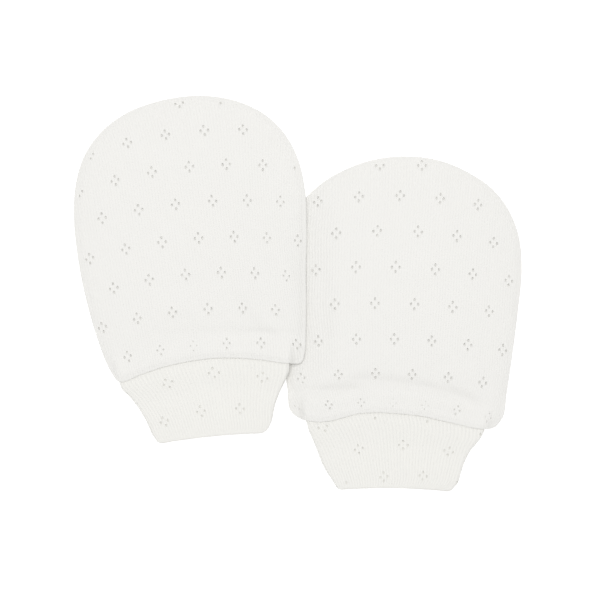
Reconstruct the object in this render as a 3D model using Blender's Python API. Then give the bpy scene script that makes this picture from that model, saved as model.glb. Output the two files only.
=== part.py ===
"""A pair of baby mittens in fine rib knit, laid flat, the left one lapping over the right one.

Each mitten is a front panel and a back panel, joined round a domed edge, and a tapering cuff. The cuff
is a band folded double at its hem, flattened, with its top end tucked between the panels at the wrist.

Sizes are in millimetres, and MM turns them to metres as a mesh is made. A mitten is drawn in a flat frame
of its own: "across" runs to the right, "along" runs to the fingertips, and 0, 0 is the middle of the
wrist. It is then turned and moved to its place in the pair, where +Y is towards the fingertips.
"""

from collections import namedtuple

import bpy
import numpy as np

MM = 0.001

WALL = 1.0  # a panel: one layer of rib
CUFF_WALL = 1.5  # the cuff's band, two layers
CUFF_SLIT = 0.4  # what stays open inside the flattened cuff
GAP = 0.3  # between pieces at the seams
REST_GAP = 0.6  # between flat faces that lie on each other, so that their facets keep clear
TUCK = 1.2  # how far the cuff's top end reaches in between the panels
CUFF_HALF = CUFF_WALL + CUFF_SLIT / 2  # from the flattened cuff's middle to its outside
OUTLINE_STEPS = 12  # steps between two points of an outline

Section = namedtuple("Section", "along left right")
Seam = namedtuple("Seam", "across along")
Band = namedtuple("Band", "along left right fullness")
Step = namedtuple("Step", "inset height")
Mitten = namedtuple("Mitten", "name place turn centre body seam cuff hem_arch hem_tilt")

# Height of a panel's surface over the ground, by its distance in from the sewn edge.
FRONT_UNDERSIDE = (
    Step(0, 1.6),
    Step(0.7, 2.3),
    Step(1.8, 2.8),
    Step(4, 3.2),
    Step(9, 3.6),
    Step(17, 3.9),
    Step(28, 4.0),
)
BACK_UNDERSIDE = (Step(0, 0.3), Step(0.7, 0.1), Step(1.8, 0.0), Step(28, 0.0))

CUFF_LIFT = BACK_UNDERSIDE[0].height + WALL + REST_GAP  # the back panel's edge lies under the cuff's end
WRIST_MIDDLE = CUFF_LIFT + CUFF_HALF  # height of the cuff's middle at the wrist
CUFF_SLOPE_START = 8.0  # the cuff rises off the ground from this far below the wrist seam
CUFF_SLOPE_END = 1.0  # to this far below it
BLOUSE_LENGTH = 13.0  # how far up the palm the cuff's end holds the panels apart
BLOUSE_SIDE = 5.0  # how far out beside the cuff it does so
UPTURN = 4.0  # width of the back panel's turned-up edge beside the cuff
SOFTEN = 0.6  # rounding where two heights meet

LAP_RAMP = 14.0  # the upper mitten climbs on to the lower one over this length
LAP_MARGIN = 2.0  # and is fully up this far before the lower one's edge

LEFT = Mitten(
    name="left",
    place=(-32.5, -25.0),
    turn=6.5,
    centre=(0, 44),
    body=(
        Section(1, -32.9, 35.4),
        Section(6, -34.7, 36.2),
        Section(14, -36.6, 37.3),
        Section(28, -38.9, 38.8),
        Section(44, -40.1, 40.9),
        Section(58, -39.7, 41.7),
        Section(69, -37.6, 40.3),
        Section(78, -33.5, 36.5),
        Section(85, -27.2, 30.6),
        Section(90.5, -18.2, 21.8),
        Section(93.6, -6.5, 11.5),
    ),
    seam=(
        Seam(33.6, -3.0),
        Seam(28.6, -2.6),
        Seam(20, -0.5),
        Seam(12.8, 0.9),
        Seam(2.5, 2.0),
        Seam(-7.2, 1.7),
        Seam(-14.7, 0.9),
        Seam(-22.6, -0.8),
        Seam(-31.0, -2.1),
    ),
    cuff=(
        Band(2.0, -30.8, 29.8, 1.0),
        Band(-3.0, -29.8, 28.9, 1.0),
        Band(-7.0, -27.2, 27.0, 1.0),
        Band(-13.0, -24.4, 24.2, 1.0),
        Band(-19.0, -22.3, 22.1, 1.0),
        Band(-23.0, -21.3, 21.3, 1.0),
        Band(-25.0, -20.4, 20.3, 0.85),
        Band(-26.0, -18.6, 18.4, 0.6),
    ),
    hem_arch=0.8,
    hem_tilt=-0.3,
)

RIGHT = Mitten(
    name="right",
    place=(34.4, -44.6),
    turn=-1.5,
    centre=(1, 43),
    body=(
        Section(2, -36.6, 37.3),
        Section(10, -38.3, 38.5),
        Section(24, -39.6, 40.2),
        Section(40, -40.8, 41.8),
        Section(54, -41.1, 42.7),
        Section(66, -39.2, 41.3),
        Section(75, -35.3, 37.5),
        Section(82, -28.9, 31.8),
        Section(87.5, -20.3, 23.5),
        Section(91.2, -10.5, 14.4),
    ),
    seam=(
        Seam(34.2, -1.6),
        Seam(30.2, -2.0),
        Seam(20, -0.3),
        Seam(8, 2.0),
        Seam(0, 2.6),
        Seam(-8, 2.7),
        Seam(-14, 2.0),
        Seam(-19, 0.5),
        Seam(-24, -0.8),
        Seam(-30.6, -0.8),
        Seam(-34.0, 0.1),
    ),
    cuff=(
        Band(2.6, -32.0, 31.6, 1.0),
        Band(-3.0, -30.2, 29.6, 1.0),
        Band(-7.5, -28.2, 26.7, 1.0),
        Band(-13.0, -26.2, 24.5, 1.0),
        Band(-18.0, -24.0, 23.2, 1.0),
        Band(-21.5, -22.0, 22.3, 1.0),
        Band(-23.5, -20.8, 20.8, 0.85),
        Band(-24.5, -19.2, 18.6, 0.6),
    ),
    hem_arch=0.9,
    hem_tilt=0.2,
)

AROUND = 64  # points round a panel
CORNER_REACH = 7.0  # they draw together this near the cuff's sides
CORNER_DENSITY = 4.0  # by this much
PANEL_RINGS = (0, 0.7, 1.8, 4, 9, 17, 28)  # each ring's distance in from the edge, towards the centre
CUFF_SIDE_RINGS = (0, 0.25, 0.8, CUFF_HALF)  # columns at a cuff's rounded side, in from its edge
CUFF_FLAT_COLUMNS = 9  # and between the two sides


def smooth_step(share):
    share = np.clip(share, 0, 1)
    return share * share * (3 - 2 * share)


def soft_max(first, second, rounding):
    return 0.5 * (first + second + np.sqrt((first - second) ** 2 + rounding**2))


def smooth_loop(points, steps):
    """A closed curve through the points: cubic pieces whose slopes agree where they meet."""
    start = np.array(points, float)
    end = np.roll(start, -1, axis=0)
    length = np.linalg.norm(end - start, axis=1)[:, None]
    slope = (end - start) / length
    before = np.roll(length, 1, axis=0)
    tangent = (np.roll(slope, 1, axis=0) * length + slope * before) / (before + length)
    pieces = []
    for share in np.arange(steps) / steps:
        rise = share * share * (3 - 2 * share)
        lead = share * (1 - share) ** 2 * length * tangent
        tail = share * share * (share - 1) * length * np.roll(tangent, -1, axis=0)
        pieces.append(start * (1 - rise) + end * rise + lead + tail)
    return np.stack(pieces, axis=1).reshape(-1, 2)


def edge_points(mitten, loop):
    """The sewn edge as points at equal distances, but closer together at the cuff's two sides."""
    closed = np.vstack([loop, loop[:1]])
    top = mitten.cuff[0]
    corners = [(side, seam_along(mitten, side)) for side in (top.left, top.right)]
    steps = np.linalg.norm(np.diff(closed, axis=0), axis=1)
    for corner in corners:
        nearness = np.exp(-((np.linalg.norm(loop - corner, axis=1) / CORNER_REACH) ** 2))
        steps *= 1 + CORNER_DENSITY * nearness
    walked = np.concatenate([[0], np.cumsum(steps)])
    stops = np.arange(AROUND) * walked[-1] / AROUND
    return np.column_stack([np.interp(stops, walked, closed[:, axis]) for axis in (0, 1)])


def outline(mitten):
    """A panel's sewn edge, counter-clockwise: up the right side, over the dome, down and along the wrist."""
    right = [(row.right, row.along) for row in mitten.body]
    left = [(row.left, row.along) for row in reversed(mitten.body)]
    wrist = [(row.across, row.along) for row in reversed(mitten.seam)]
    return smooth_loop(right + left + wrist, OUTLINE_STEPS)


def distance_in(points, loop):
    """How far each point is from the closed curve, below zero outside it."""
    start = loop[None]
    span = np.roll(loop, -1, axis=0)[None] - start
    away = points[:, None] - start
    share = np.clip((away * span).sum(2) / (span * span).sum(2), 0, 1)
    nearest = np.linalg.norm(away - share[..., None] * span, axis=2).min(axis=1)
    above = away[..., 1] >= 0
    crosses = above != np.roll(above, -1, axis=1)
    rise = np.where(crosses, span[..., 1], 1)
    passes_right = away[..., 0] < span[..., 0] * away[..., 1] / rise
    inside = (crosses & passes_right).sum(axis=1) % 2 == 1
    return np.where(inside, nearest, -nearest)


def at_inset(table, inset):
    return np.interp(inset, [row.inset for row in table], [row.height for row in table])


def seam_along(mitten, across):
    rows = sorted(mitten.seam)
    return np.interp(across, [row.across for row in rows], [row.along for row in rows])


def cuff_side(mitten, across):
    """The distance in from the nearer side of the cuff's top end, below zero beside it."""
    top = mitten.cuff[0]
    return np.minimum(across - top.left, top.right - across)


def rounded_half(inset):
    """Half the cuff's thickness near its side, which is a half circle."""
    out = 1 - np.clip(inset, 0, CUFF_HALF) / CUFF_HALF
    return CUFF_HALF * np.sqrt(1 - out * out)


def blouse(mitten, points):
    """1 over the cuff's end, falling to 0 up the palm and out beside the cuff."""
    above = points[:, 1] - seam_along(mitten, points[:, 0]) - TUCK
    beside = -cuff_side(mitten, points[:, 0])
    return (1 - smooth_step(above / BLOUSE_LENGTH)) * (1 - smooth_step(beside / BLOUSE_SIDE))


def front_heights(mitten, points, inset):
    """Underside and top of the front panel, which rises over the cuff's end at the wrist."""
    over_cuff = WRIST_MIDDLE + rounded_half(cuff_side(mitten, points[:, 0])) + REST_GAP
    low = soft_max(at_inset(FRONT_UNDERSIDE, inset), over_cuff * blouse(mitten, points), SOFTEN)
    return low, low + WALL


def back_heights(mitten, points, inset):
    """Underside and top of the back panel, flat but for its edge, which turns up beside the cuff's end."""
    under_cuff = WRIST_MIDDLE - rounded_half(cuff_side(mitten, points[:, 0])) - REST_GAP
    turned_up = under_cuff * blouse(mitten, points) * (1 - smooth_step(inset / UPTURN))
    low = np.maximum(at_inset(BACK_UNDERSIDE, inset), turned_up - WALL)
    return low, low + WALL


def to_pair(mitten, points):
    """Points of a mitten's own frame in the pair's."""
    angle = np.radians(mitten.turn)
    across, along = points[:, 0], points[:, 1]
    return np.column_stack(
        [
            across * np.cos(angle) - along * np.sin(angle) + mitten.place[0],
            across * np.sin(angle) + along * np.cos(angle) + mitten.place[1],
        ]
    )


def from_pair(mitten, points):
    angle = np.radians(mitten.turn)
    moved = points - np.array(mitten.place)
    return np.column_stack(
        [
            moved[:, 0] * np.cos(angle) + moved[:, 1] * np.sin(angle),
            moved[:, 1] * np.cos(angle) - moved[:, 0] * np.sin(angle),
        ]
    )


def lap(mitten, points):
    """How far the left mitten is raised where it climbs on to the right one's edge."""
    if mitten is RIGHT:
        return np.zeros(len(points))
    inset = distance_in(from_pair(RIGHT, points), outline(RIGHT))
    top = at_inset(FRONT_UNDERSIDE, np.maximum(inset + LAP_MARGIN, 0)) + WALL + REST_GAP
    return top * smooth_step((inset + LAP_RAMP) / (LAP_RAMP - LAP_MARGIN))


def placed(mitten, points, heights):
    """Points in metres, in the pair's frame, raised where the mitten laps over its neighbour."""
    flat = to_pair(mitten, points)
    return np.column_stack([flat, heights + lap(mitten, flat)]) * MM


def add_object(name, vertices, faces, material):
    mesh = bpy.data.meshes.new(name)
    mesh.from_pydata(vertices.tolist(), [], faces)
    mesh.materials.append(material)
    mesh.shade_smooth()
    piece = bpy.data.objects.new(name, mesh)
    bpy.context.scene.collection.objects.link(piece)
    return piece


def bands(rings, count, start):
    """Quads between neighbouring rings of count points each, whose numbers begin at start."""
    faces = []
    for ring in range(rings - 1):
        near = start + ring * count
        far = near + count
        for i, j in enumerate([*range(1, count), 0]):
            faces.append((near + i, near + j, far + j, far + i))
    return faces


def panel(mitten, side, heights, material):
    """One panel: rings round the mitten's centre, as a top surface, an underside and an edge."""
    loop = outline(mitten)
    edge = edge_points(mitten, loop)
    inward = np.array(mitten.centre) - edge
    inward = inward / np.linalg.norm(inward, axis=1)[:, None]
    points = np.vstack([edge + step * inward for step in PANEL_RINGS] + [[mitten.centre]])
    inset = distance_in(points, loop)
    inset[:AROUND] = 0
    low, high = heights(mitten, points, inset)
    vertices = np.vstack([placed(mitten, points, high), placed(mitten, points, low)])
    under = len(points)
    middle = under - 1
    last = middle - AROUND
    faces = bands(len(PANEL_RINGS), AROUND, 0)
    faces += [face[::-1] for face in bands(len(PANEL_RINGS), AROUND, under)]
    for i, j in enumerate([*range(1, AROUND), 0]):
        faces.append((i, i + under, j + under, j))
        faces.append((last + i, last + j, middle))
        faces.append((under + last + j, under + last + i, under + middle))
    return add_object(f"{mitten.name}_{side}", vertices, faces, material)


def cuff_ring(mitten, row, inset, half):
    """One ring of the flattened cuff: along its top from the left, and back along its underside."""
    left, right = row.left + inset, row.right - inset
    sides = np.array(CUFF_SIDE_RINGS) * half / CUFF_HALF
    middle = np.linspace(left + sides[-1], right - sides[-1], CUFF_FLAT_COLUMNS + 2)[1:-1]
    across = np.concatenate([left + sides, middle, right - sides[::-1]])
    out = 1 - np.clip(np.minimum(across - left, right - across), 0, half) / half
    thick = half * np.sqrt(1 - out * out) * row.fullness
    hem, top = mitten.cuff[-1].along, mitten.cuff[0].along
    share = (top - row.along) / (top - hem)
    hem_bend = mitten.hem_arch * (1 - (across / right) ** 2) + mitten.hem_tilt * across / right
    seam_bend = seam_along(mitten, across) - top + TUCK
    along = row.along + (1 - share) * seam_bend + share * hem_bend
    risen = (along - seam_along(mitten, across) + CUFF_SLOPE_START) / (CUFF_SLOPE_START - CUFF_SLOPE_END)
    height = CUFF_HALF + (WRIST_MIDDLE - CUFF_HALF) * smooth_step(risen)
    top_side = np.column_stack([across, along])
    points = np.vstack([top_side, top_side[-2:0:-1]])
    heights = np.concatenate([height + thick, (height - thick)[-2:0:-1]])
    return placed(mitten, points, heights)


def cuff(mitten, material):
    """The folded band: an outer tube and the slit inside it, joined at the hem and at the tucked end."""
    outer = [cuff_ring(mitten, row, 0, CUFF_HALF) for row in reversed(mitten.cuff)]
    inner = [cuff_ring(mitten, row, CUFF_WALL, CUFF_SLIT / 2) for row in mitten.cuff]
    rings = outer + inner
    points = np.vstack(rings)
    faces = bands(len(rings) + 1, len(rings[0]), 0)
    faces = [tuple(corner % len(points) for corner in face) for face in faces]
    return add_object(f"{mitten.name}_cuff", points, faces, material)


def rib_knit(name, colour):
    material = bpy.data.materials.new(name)
    material.use_nodes = True
    shader = material.node_tree.nodes["Principled BSDF"]
    shader.inputs["Base Color"].default_value = (*colour, 1)
    shader.inputs["Roughness"].default_value = 0.9
    shader.inputs["Metallic"].default_value = 0
    shader.inputs["Sheen Weight"].default_value = 0.2
    return material


def main():
    for old in list(bpy.data.objects):
        bpy.data.objects.remove(old)
    cloths = {
        "front": rib_knit("front_rib_knit", (0.88, 0.87, 0.83)),
        "back": rib_knit("back_rib_knit", (0.84, 0.83, 0.79)),
        "cuff": rib_knit("cuff_rib_knit", (0.86, 0.85, 0.80)),
    }
    for mitten in (LEFT, RIGHT):
        panel(mitten, "front", front_heights, cloths["front"])
        panel(mitten, "back", back_heights, cloths["back"])
        cuff(mitten, cloths["cuff"])


main()
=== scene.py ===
"""The looks of a pair of baby mittens in pointelle rib knit, laid flat, the left lapping over the right.

Each mitten shows a front panel, a back panel and a folded cuff. Every piece is a thin closed shell on the
form of its solid, laid out along its own wales, and Geometry Nodes give it its ribs and its eyelets.

Sizes are in millimetres, and MM turns them to metres. A mitten is drawn in a flat frame of its own:
"across" runs to the right, "along" runs to the fingertips, and 0, 0 is the middle of the wrist. Its cloth
has a second frame, which its UV map holds: wales across and courses along, as they left the machine.
"""

from collections import namedtuple
from math import pi, radians

import bpy
import numpy as np
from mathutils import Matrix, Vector
from mathutils.geometry import delaunay_2d_cdt

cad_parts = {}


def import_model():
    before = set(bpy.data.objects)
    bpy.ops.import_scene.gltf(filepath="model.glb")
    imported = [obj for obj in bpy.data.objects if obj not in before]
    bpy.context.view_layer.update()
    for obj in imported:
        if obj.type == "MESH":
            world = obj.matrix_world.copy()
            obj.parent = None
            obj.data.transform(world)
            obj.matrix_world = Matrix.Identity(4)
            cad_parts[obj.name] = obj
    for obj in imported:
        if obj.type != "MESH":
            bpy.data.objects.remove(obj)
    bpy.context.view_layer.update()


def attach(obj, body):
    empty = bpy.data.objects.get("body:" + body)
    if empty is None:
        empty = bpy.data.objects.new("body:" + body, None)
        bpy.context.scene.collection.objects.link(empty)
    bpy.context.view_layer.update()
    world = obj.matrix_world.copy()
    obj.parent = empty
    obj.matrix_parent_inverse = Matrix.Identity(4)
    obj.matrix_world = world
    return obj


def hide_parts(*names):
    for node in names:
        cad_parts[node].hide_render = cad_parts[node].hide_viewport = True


MM = 0.001
KNIT_MAP = "knit"
SEED = 11

# How the pieces lie. The outlines are the solids' own, and the heights are lower, since soft cloth sinks.
CUFF_WALL = 1.15  # the cuff's band, two layers
CUFF_SLIT = 0.4  # the hollow inside the flattened cuff
CUFF_HALF = CUFF_WALL + CUFF_SLIT / 2  # from the flattened cuff's middle to its outside
PANEL_TOP = 1.0  # from the tabled heights of a panel up to its other side
REST_GAP = 0.6  # the back panel lies this far under the cuff's end
PALM_GAP = 0.17  # and the front panel this far over it
TUCK = 1.2  # how far the cuff's end reaches in past the wrist seam
CUFF_LIFT = 1.2  # height of the cuff's underside at the wrist
CUFF_CLEAR = 0.09  # under the cuff, for the yarn round its eyelets
WRIST_MIDDLE = CUFF_LIFT + CUFF_HALF
CUFF_SLOPE_START = 12.0  # the cuff rises off the ground from this far below the wrist seam
CUFF_SLOPE_END = 1.0  # to this far below it
BLOUSE_LENGTH = 15.0  # how far up the palm the cuff's end holds the panels apart
BLOUSE_SIDE = 6.0  # how far out beside the cuff it does so
UPTURN = 4.0  # width of the back panel's turned-up edge under the cuff
SOFTEN = 0.6  # rounding where two heights meet
CUFF_DRAPE = 5.0  # how far beside the cuff the palm comes down from it
DRAPE_END = 1.0  # and how far inside the cuff's side it starts to

# The left mitten climbs on to the right one over this length, in one slow rise to this height.
LAP_RAMP = 20.0
LAP_END = 3.0
LAP_HEIGHT = 2.5

# The right mitten's palm is pressed flatter under the left one, by this share of its height.
PRESS_SHARE = 0.72
PRESS_REACH = 12.0  # beyond the left one's edge

# The shells.
WALL = 0.85  # thickness of a panel's one layer of rib
SEAM_WALL = 0.6  # thickness of the back's layer where it is sewn
SEAM_THINNING = 0.45  # how much thinner the front's layer is where it is sewn
SEAM_THINNING_REACH = 3.0
SEAM_CLOSING = 2.6  # the front meets the back within this distance beside the cuff
SEAM_GAP = 0.08
CORNER_START = 1.0  # the palm starts to fall to its lower corners this far inside the cuff's side
CORNER_SPAN = 5.0  # and does so over this width
CORNER_FALL = 6.0  # the palm's lower corners come down to the sewn edge over this distance
SEAM_DROP = 0.05  # how far the front's wrist edge comes down on to the cuff
SEAM_SLOPE = 0.6  # and how far its face slopes down to meet that edge
SEAM_SLOPE_REACH = 0.8

# The points of the shells.
OUTLINE_STEPS = 12  # to each stretch of an outline
EDGE_SPACING = 0.6  # round a panel's edge
FACE_MARGIN = 0.25  # between a panel's rolled edge and the first points of its face
FRONT_STEP = 0.6  # between rows on a front panel
BACK_STEP = 0.9  # and on a back panel
WALE_COLUMNS = 4  # to each wale
INNER_INSET = 1.4  # where a panel's inner face begins
INNER_MARGIN = 0.7
INSIDE_SPACING = 2.2  # on a panel's inner face
CUFF_ROW_STEP = 0.55
CUFF_INSIDE_ROWS = 5
CUFF_TURN_ROWS = 9  # round the fold at the hem, and round the sewn end
SAME_POINT = 1e-6
POINTS_AT_ONCE = 4000
SHARP_ANGLE = 50

# The knit.
WALE = 1.0  # from one rib to the next
COURSE = 0.7  # from one row of stitches to the next
ROW_PITCH = 12.6  # from one row of eyelet diamonds to the next, 18 courses
SQUEEZE_START = 3.0  # the wales draw together to the right of here
LEVEL_ROUNDS = 8  # of closing in on the level of a point
PALM_RIBBING = 0.45  # how much of the ribs' full depth shows over the palm
EDGE_RIBBING = 0.3  # and how much more at the sewn edge, within this distance of it
RIBBED_EDGE = 4.0
CUFF_RIBBING = 0.75  # the same over a cuff, with more of it below the wrist seam
WRIST_RIBBING = 0.75
RIBBED_WRIST = 6.0

# Small waves that keep the cloth from lying dead flat.
WAVES = 28
WAVE_SHORTEST = 5.0
WAVE_LONGEST = 16.0
WAVE_HEIGHT = 0.013
DRAPE_FADE = 6.0  # they fade out at the sewn edge over this distance
FOLD_FADE = 2.5  # and the creases over this one
CREASE_ENDS = 6  # a crease fades out over a sixth of its length at each end
BACK_FOLDS = 0.35  # how much of the creases and waves the back has
BACK_WAVES = 0.5

# The gathers above the wrist seam: two ripples, the first one of a rate that drifts.
GATHER_REACH = 3.5
GATHER_HEIGHT = 0.08
GATHER_SIDE = 3.0  # they fade out at the cuff's sides over this distance
RIPPLE_RATE = 1.9
RIPPLE_DRIFT = 1.3
DRIFT_RATE = 0.31
SECOND_RIPPLE = 0.6
SECOND_RATE = 1.17

# The eyelets.
LATTICE_COLUMNS = 24  # of the grid that the diamonds are picked from, which reaches past the cloth
LATTICE_ROWS = 24
DIAMOND_HOLES = 4
HOLE_NUDGE = 0.1  # how far a hole may lie from its place
UP_THE_WALE = 0.3  # how far ahead a hole looks for the way of its wale
LEAST_OPEN = 0.35  # a hole pulled more shut than this is left out
FACE_BEGINS = 1e-5  # metres in from the edge, since a shell's other sides hold 0
PUNCH_SIDES = 18
LOOP_STEPS = 12
YARN_SIDES = 5
LOOP_OVERSIZE = (1.12, 1.1, 1.0)  # of the yarn's loop against its hole

# The cotton.
STITCH_LEAN = 1.1  # how far a stitch's leg climbs across half a wale, in courses
FIBRE_SIZE = 0.35
FIBRE_RELIEF = 0.8  # against the stitches
PATCH_SIZE = 9
PATCH_SHADE = 0.08

# The studio and the camera.
FLOOR_REACH = 6.0  # metres
FLOOR_GLOW = 0.32
AIR_STRENGTH = 0.62
KEY_POWER = 14.1
FILL_POWER = 1.0
CAMERA_HEIGHT = 2.0  # metres
CAMERA_MIDDLE = (0.78, -2.26)
VIEW_WIDTH = 210.0
VIEW_PLANE = 4.0  # height at which the view is that wide
SENSOR = 36.0

Section = namedtuple("Section", "along left right")
Seam = namedtuple("Seam", "across along")
Band = namedtuple("Band", "along left right")
Step = namedtuple("Step", "inset height")
Lip = namedtuple("Lip", "inset drop")
# A row of eyelets: its place on the middle line, the spread of its wales, their squeeze towards the right,
# and how its course bows down to both sides and tilts down to the right.
Row = namedtuple("Row", "along middle stretch squeeze bow tilt")
Knit = namedtuple("Knit", "repeat first rows")
CuffKnit = namedtuple("CuffKnit", "wales repeat middle along spacing lean curl bow flatten bow_middle")
Crease = namedtuple("Crease", "start middle end depth above below")
Swell = namedtuple("Swell", "across along width length height")
Mitten = namedtuple(
    "Mitten",
    "name place turn body seam cuff hem_arch hem_tilt hem_corners knit cuff_knit"
    " creases swells closed_rows ribbed_places",
)


def table_of(kind, *values):
    """A table of one kind of row."""
    return [kind(*row) for row in values]


# Height of a panel's underside over the ground, by its distance in from the sewn edge.
FRONT_PROFILE = table_of(
    Step, (0, 0.75), (0.7, 1.05), (1.8, 1.45), (4, 2.1), (9, 3.05), (17, 3.85), (28, 4.2)
)
BACK_PROFILE = table_of(Step, (0, 0.3), (0.7, 0.1), (1.8, 0.0), (28, 0.0))

# A panel's rolled edge: from its face round and under to the seam, as shares of the drop between them.
LIPS = table_of(Lip, (0.9, 0.0), (0.5, 0.12), (0.17, 0.36), (0.0, 0.66), (0.1, 0.88), (0.4, 1.0))

LEFT = Mitten(
    name="left",
    place=(-32.5, -25.0),
    turn=6.5,
    body=table_of(
        Section,
        (1, -32.9, 35.4), (6, -34.7, 36.2), (14, -36.6, 37.3), (28, -38.9, 38.8), (44, -40.1, 40.9),
        (58, -39.7, 41.7), (69, -37.6, 40.3), (78, -33.5, 36.5), (85, -27.2, 30.6), (90.5, -18.2, 21.8),
        (93.6, -6.5, 11.5),
    ),
    seam=table_of(
        Seam,
        (33.6, -3.0), (28.6, -2.6), (20, -0.5), (12.8, 0.9), (2.5, 2.0), (-7.2, 1.7), (-14.7, 0.9),
        (-22.6, -0.8), (-31.0, -2.1),
    ),
    cuff=table_of(
        Band,
        (2.0, -30.8, 29.8), (-3.0, -29.8, 28.9), (-7.0, -27.2, 27.0), (-13.0, -24.4, 24.2),
        (-19.0, -22.3, 22.1), (-23.0, -21.3, 21.3), (-26.0, -20.0, 19.9),
    ),
    hem_arch=0.8,
    hem_tilt=-0.3,
    hem_corners=(1.8, 3.2),
    knit=Knit(
        repeat=13,
        first=1,
        rows=table_of(
            Row,
            (7.0, 2.6, 0.894, -0.0012, 0.0025, 0.027),
            (19.5, 3.3, 0.96, 0.0026, 0.0031, 0.035),
            (32.1, 3.2, 0.98, 0.004, 0.0033, 0.032),
            (44.4, 2.9, 0.994, 0.0038, 0.0029, 0.024),
            (57.0, 2.7, 1.005, 0.003, 0.0026, 0.014),
            (69.5, 2.4, 1.013, 0.0012, 0.0031, -0.004),
            (81.7, 2.2, 1.046, 0, 0.0035, -0.016),
            (92.0, 1.4, 1.113, 0, 0.0028, -0.026),
        ),
    ),
    cuff_knit=CuffKnit(
        wales=45, repeat=13, middle=24.9, along=-4.2, spacing=12.6,
        lean=0.09, curl=0, bow=0.005, flatten=0, bow_middle=1.5,
    ),
    creases=table_of(
        Crease,
        ((-22, 12.6), (4, 11.4), (36, 5.0), 0.2, 1.5, 2.4),
        ((14, 9.9), (27, 8.2), (40, 4.4), 0.32, 1.4, 2.4),
        ((-18, 30), (2, 27.5), (20, 30.5), 0.12, 4.0, 4.0),
    ),
    swells=table_of(
        Swell,
        (-14, 62, 13, 17, 0.22), (16, 40, 11, 15, 0.18), (12, 76, 15, 8, -0.18),
        (-24, 26, 8, 13, -0.15), (30, 22, 6, 12, 0.2),
    ),
    closed_rows=table_of(
        Swell,
        (-4, 7, 14, 5, 0.5), (31, 33, 7, 22, 0.25), (-14, 92, 5, 4, 1), (-36, 78, 5, 9, 0.5),
    ),
    ribbed_places=table_of(Swell, (28, 5, 12, 9, 0.8), (4, 88, 26, 9, 0.7)),
)

RIGHT = Mitten(
    name="right",
    place=(34.4, -44.6),
    turn=-1.5,
    body=table_of(
        Section,
        (2, -36.6, 37.3), (10, -38.3, 38.5), (24, -39.6, 40.2), (40, -40.8, 41.8), (54, -41.1, 42.7),
        (66, -39.2, 41.3), (75, -35.3, 37.5), (82, -28.9, 31.8), (87.5, -20.3, 23.5),
        (91.2, -10.5, 14.4),
    ),
    seam=table_of(
        Seam,
        (34.2, -1.6), (30.2, -2.0), (20, -0.3), (8, 2.0), (0, 2.6), (-8, 2.7), (-14, 2.0), (-19, 0.5),
        (-24, -0.8), (-30.6, -0.8), (-34.0, 0.1),
    ),
    cuff=table_of(
        Band,
        (2.6, -32.0, 31.6), (-3.0, -30.2, 29.6), (-7.5, -28.2, 26.7), (-13.0, -26.2, 24.5),
        (-18.0, -24.0, 23.2), (-21.5, -22.0, 22.3), (-24.5, -20.2, 20.2),
    ),
    hem_arch=0.9,
    hem_tilt=0.2,
    hem_corners=(1.3, 1.0),
    knit=Knit(
        repeat=14,
        first=0,
        rows=table_of(
            Row,
            (6.3, -1.2, 0.802, 0.0003, 0.0033, 0.024),
            (16.5, -1.2, 0.922, 0.0015, 0.0024, 0.006),
            (28.6, -1.4, 0.945, 0.0014, 0.002, 0.005),
            (41.1, -1.6, 0.993, 0.002, 0.0018, 0.001),
            (53.8, -1.5, 0.997, 0.0018, 0.0023, 0.01),
            (66.5, -1.2, 1.022, 0.0024, 0.003, 0.004),
            (78.8, -0.7, 1.024, 0.0023, 0.0033, 0.001),
            (89.6, -0.6, 1.051, 0.0019, 0.0025, -0.02),
        ),
    ),
    cuff_knit=CuffKnit(
        wales=48, repeat=14, middle=27.2, along=-9.3, spacing=10.5,
        lean=0.098, curl=0.009, bow=0.0035, flatten=0.0002, bow_middle=8,
    ),
    creases=table_of(
        Crease,
        ((-20, 12.9), (4, 12.6), (35, 4.5), 0.9, 2.3, 7.0),
        ((-44, 9.0), (-28, 9.6), (-10, 10.6), 0.9, 2.0, 6.0),
        ((27, 6.4), (33, 5.4), (41, 4.4), 0.15, 1.5, 2.0),
        ((-12, 47), (6, 45), (26, 48.5), 0.12, 4.0, 4.0),
    ),
    swells=table_of(
        Swell,
        (-16, 56, 12, 18, 0.2), (18, 34, 12, 15, 0.2), (8, 74, 16, 8, -0.15), (-28, 30, 7, 14, -0.15),
        (33, 60, 6, 14, -0.12),
    ),
    closed_rows=table_of(Swell, (3, 6.5, 20, 4, 0.66), (-33, 8, 5, 5, 0.9), (34, 2, 5, 4, 0.5)),
    ribbed_places=table_of(Swell, (-30, 45, 12, 26, 0.8), (0, 84, 28, 9, 0.7)),
)


def smooth_step(share):
    """0 to 1, level at both ends, and held beyond them."""
    share = np.clip(share, 0, 1)
    return share * share * (3 - 2 * share)


def soft_max(first, second, rounding):
    """The greater of two, rounded where they cross."""
    return 0.5 * (first + second + np.sqrt((first - second) ** 2 + rounding**2))


def column(table, name):
    """One column of a table."""
    return np.array([getattr(row, name) for row in table], float)


def cubic(start, end, slopes, length, share):
    """A cubic piece from start to end, with a slope at each."""
    rise = share * share * (3 - 2 * share)
    lead = share * (1 - share) ** 2 * length * slopes[0]
    tail = share * share * (share - 1) * length * slopes[1]
    return start * (1 - rise) + end * rise + lead + tail


def curve_through(places, values, at):
    """A smooth curve through a table's values, straight beyond its two ends."""
    slopes = np.gradient(values, places)
    held = np.clip(at, places[0], places[-1])
    spot = np.clip(np.searchsorted(places, held) - 1, 0, len(places) - 2)
    length = places[spot + 1] - places[spot]
    share = (held - places[spot]) / length
    curve = cubic(values[spot], values[spot + 1], (slopes[spot], slopes[spot + 1]), length, share)
    return curve + (at - held) * np.where(at < places[0], slopes[0], slopes[-1])


def from_table(table, key, name, at):
    """The value of a table's column where its key column is at, with the rows in either order."""
    rows = sorted(table, key=lambda row: getattr(row, key))
    return curve_through(column(rows, key), column(rows, name), at)


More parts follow.
